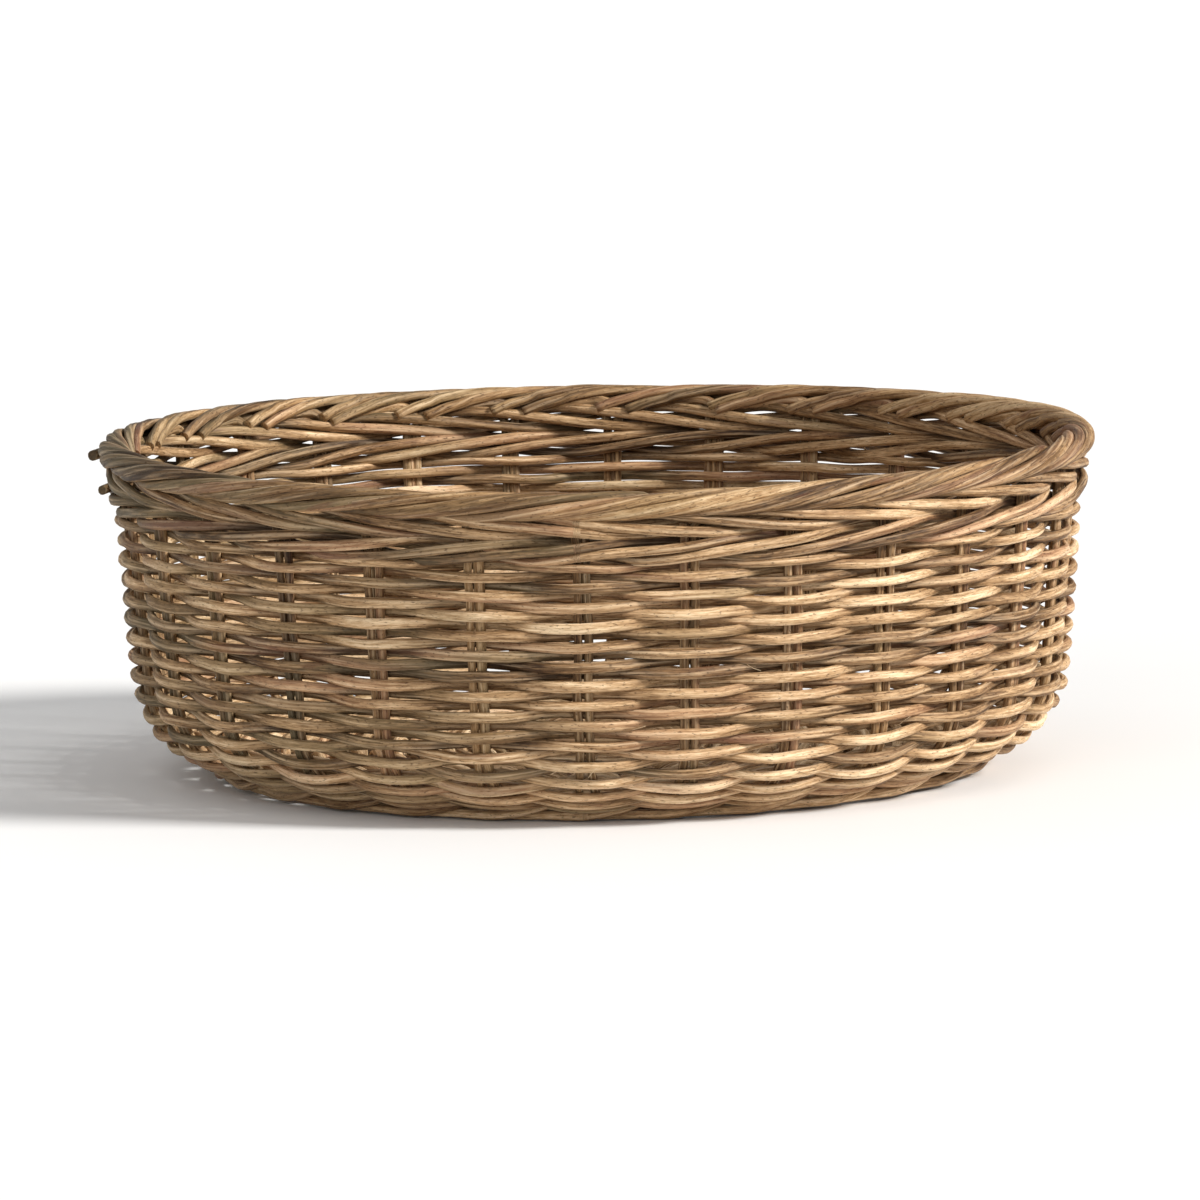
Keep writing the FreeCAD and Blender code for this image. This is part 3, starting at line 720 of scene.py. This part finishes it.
# place across and height of each fibre, and how far it reaches across and up
fibres = [(-30, 35, 9, 5), (-8, 33, 7, 8), (18, 61, 8, 3)]
fibres += [(-150, 64, 7, 4), (176, 52, 6, 5), (86, 97, 8, -3)]
for x, z, dx, dz in fibres:
    y = -math.sqrt(((FOOT_R + z * 0.16) ** 2) - x * x) - 5
    root, tip = (x, y + 4, z), (x + dx, y - 2, z + dz)
    loose.append((root, (x + dx * 0.5, y - 1, z + dz * 0.6), tip, FIBRE))
for root, middle, tip, thick in loose:
    line = smooth_line([root, middle, tip], 2)
    toward_front = np.tile([0.0, -1.0, 0.0], (len(line), 1))
    lower.add(line, toward_front, thick, thick * 0.7, 0.8, sides=6, tips=(0.6, 0.3))
for bundle, name, node in (
    (upper, "chain_wale_upper", "wale_upper"),
    (lower, "chain_wale_lower", "wale_lower"),
):
    piece = bundle.piece(name, wale_cane)
    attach(piece, "root")
    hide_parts(node)
print("loose ends", 2 + len(loose))

# %% [markdown]
# Each stake is a pair of rods. They are pushed into the base beside a spoke, bend up the
# corner, stand in the wall and are then laid down to the right. There they wind round the
# rim with the pairs before and after them, like strands of a rope, over the top and down
# inside, where they are cut. So one long line makes both the stake and the border stroke.

# %% Stakes and border strokes
ROLL_R, ROLL_Z, ROLL_RHO = 291.6, 191.0, 6.4
RATE = 96.0


def roll_point(u, lag, rho):
    """Radius and height on the border rope, u spacings on from the stake."""
    phi = math.radians(-110 + RATE * (u - 0.6) - lag)
    return ROLL_R + rho * math.cos(phi), ROLL_Z + 0.9 * rho * math.sin(phi)


def rod_aside(distance):
    close = np.clip(2 * (distance - EDGE_R) / (CORNER_END - EDGE_R) - 0.5, 0, 1)
    return 6.0 - 3.0 * close


def stake_rod(number, side):
    """The line of one rod of a pair, and the direction that its flat side faces."""
    at = stake_angle(number)
    lean = rng.normal(0, 0.6)
    points = []
    for distance in list(np.arange(152, EDGE_R, 18)) + list(np.arange(EDGE_R, CORNER_END, 9)):
        r, z, _, _ = stake_line(distance)
        points.append((at + side * rod_aside(distance) / max(r, 1), r, z))
    for level in np.arange(72, 172, 16):
        r, z, _, _ = stake_line(along_wall(level))
        drift = lean * math.sin(level / 31 + number) + rng.normal(0, 0.25)
        points.append((at + (side * 3.2 + drift) / r, r + rng.normal(0, 0.2), z))
    lead = side > 0
    lag = (0 if lead else 33) + rng.normal(0, 4)
    rise = 178.5 if lead else 183.5
    r, z, _, _ = stake_line(along_wall(rise))
    points.append((at + side * 2.8 / r, r, z))
    top = 184.6 if lead else 190.2
    points.append((at + 0.10 * STEP + side * 2.0 / r, 286.9 if lead else 286.2, top))
    end = (3.42 if lead else 3.7) + rng.uniform(-0.12, 0.12)
    rho_drift = rng.normal(0, 0.7)
    for u in np.arange(0.34, end, 0.17):
        # the rope tightens where a rod starts and loosens where it ends
        rho = ROLL_RHO - 2.2 + 2.2 * min(1, u / 2.2)
        rho = rho + 3.2 * max(0, u - lag / RATE - 2.7) + rho_drift * math.sin(2.1 * u)
        r, z = roll_point(u, lag, rho)
        points.append((at + u * STEP, r, z))
    # the cut end leaves the rope and points down inside the rim
    r, z = roll_point(end, lag, ROLL_RHO + 1.6)
    points.append((at + end * STEP, r - 0.4, z - 0.4))
    points.append((at + (end + 0.22) * STEP, r - 2.6, z - 3.4))
    points.append((at + (end + 0.42) * STEP, r - 4.2, z - 7.4))
    return points


def polar_line(points):
    a, r, z = np.array(points).T
    return np.column_stack([r * np.cos(a), r * np.sin(a), z])


def facing(line):
    """Outward directions for a line near the stake line or round the border rope."""
    radial = np.hypot(line[:, 0], line[:, 1])
    ahead = np.column_stack([line[:, 0] / radial, line[:, 1] / radial])
    out_r = np.where(line[:, 2] < FOOT_Z, np.clip((radial - EDGE_R) / BEND, 0, 1), 1.0)
    out_z = np.where(line[:, 2] < FOOT_Z, -np.sqrt(1 - out_r**2), 0.0)
    blend = np.clip((line[:, 2] - 176) / 8, 0, 1)
    rope_r = radial - ROLL_R
    rope_z = line[:, 2] - ROLL_Z
    size = np.maximum(np.hypot(rope_r, rope_z), 1e-6)
    out_r = out_r * (1 - blend) + rope_r / size * blend
    out_z = out_z * (1 - blend) + rope_z / size * blend
    return np.column_stack([ahead[:, 0] * out_r, ahead[:, 1] * out_r, out_z])


for number in range(STAKES):
    pair = Bundle()
    tone = drawn_tone(0.5, 0.12)
    for side in (1, -1):
        line = smooth_line(polar_line(stake_rod(number, side)), 3.2)
        wide = rng.normal(5.3, 0.25)
        thick = np.interp(line[:, 2], [150, 188], [wide, 6.3])
        thick = np.where(np.hypot(line[:, 0], line[:, 1]) < 270, wide, thick)
        rod_tone = float(np.clip(tone + rng.normal(0, 0.06), 0.1, 0.9))
        pair.add(line, facing(line), thick, thick * 0.93, rod_tone)
    if rng.random() < 0.75:
        aside = rng.uniform(-1.2, 1.2)
        filler = []
        for distance in np.arange(EDGE_R + 8, along_wall(182), 13):
            r, z, out_r, out_z = stake_line(distance)
            filler.append((stake_angle(number) + aside / r, r - 1.1 * out_r, z - 1.1 * out_z))
        line = smooth_line(polar_line(filler), 4.5)
        thin = rng.uniform(2.9, 3.8)
        pair.add(line, facing(line), thin, thin, drawn_tone(0.42, 0.1), sides=8)
    piece = pair.piece(f"stake_rods_{number + 1:02d}", stake_rattan)
    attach(piece, "root")
    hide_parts(f"stake_pair_{number + 1:02d}")
print("stake rods", 2 * STAKES)

# %% [markdown]
# The bed stands on a pale floor in a pale room. A wide soft lamp to the right and above
# does most of the work, and a weaker one in front keeps the shaded side readable.

# %% Floor and light
floor_mesh = bpy.data.meshes.new("floor")
ring = [(math.cos(a) * 6, math.sin(a) * 6, 0) for a in np.linspace(0, 2 * math.pi, 65)[:-1]]
floor_mesh.from_pydata(ring, [], [list(range(64))])
floor = bpy.data.objects.new("floor", floor_mesh)
bpy.context.scene.collection.objects.link(floor)
floor_material, floor_surface = new_material("pale_floor")
start = Wire(floor_material.node_tree)
where = start.node("ShaderNodeTexCoord", None, None, "Object")
cloud = start.node("ShaderNodeTexNoise", None, {"Vector": where, "Scale": 3.0}, "Fac")
tint = cloud.mix((0.86, 0.86, 0.86, 1), (0.9, 0.9, 0.9, 1))
floor_material.node_tree.links.new(tint.socket, floor_surface.inputs["Base Color"])
floor_surface.inputs["Roughness"].default_value = 0.9
floor_mesh.materials.append(floor_material)

world = bpy.data.worlds.new("pale_room")
bpy.context.scene.world = world
world.use_nodes = True
world.node_tree.nodes["Background"].inputs["Color"].default_value = (1, 1, 1, 1)
world.node_tree.nodes["Background"].inputs["Strength"].default_value = 0.46


def soft_sun(name, toward, strength, spread, colour=(1, 1, 1)):
    """A broad lamp far away; toward points from the bed to the lamp."""
    data = bpy.data.lights.new(name, "SUN")
    data.energy = strength
    data.angle = math.radians(spread)
    data.color = colour
    lamp = bpy.data.objects.new(name, data)
    lamp.rotation_euler = Vector(toward).to_track_quat("Z", "Y").to_euler()
    bpy.context.scene.collection.objects.link(lamp)
    return lamp


soft_sun("key_lamp", (0.84, -0.32, 0.56), 4.1, 14, (1, 0.98, 0.95))
soft_sun("fill_lamp", (-0.3, -0.85, 0.4), 0.6, 40)
bpy.context.scene.view_settings.view_transform = "Standard"
print("lamps", len(bpy.data.lights))

# %% [markdown]
# The camera stands far back with a long lens and looks down a little, so the round bed
# shows almost no perspective. It is tipped by about a degree, as a hand-held camera is.

# %% Camera
ELEVATION = math.radians(7.1)
DISTANCE = 9.0
VIEW_WIDTH = 0.7242
TIP = math.radians(-0.95)
target = Vector((0.0006, 0.0, 0.1026))
camera_data = bpy.data.cameras.new("camera")
camera_data.sensor_width = 36
camera_data.lens = 36 * DISTANCE / VIEW_WIDTH
camera_data.clip_end = 60
camera = bpy.data.objects.new("camera", camera_data)
camera.location = target + Vector((0, -math.cos(ELEVATION), math.sin(ELEVATION))) * DISTANCE
level_turn = (target - camera.location).to_track_quat("-Z", "Y").to_matrix()
camera.rotation_euler = (level_turn @ Matrix.Rotation(TIP, 3, "Z")).to_euler()
bpy.context.scene.collection.objects.link(camera)
bpy.context.scene.camera = camera
print("lens", round(camera_data.lens, 1))
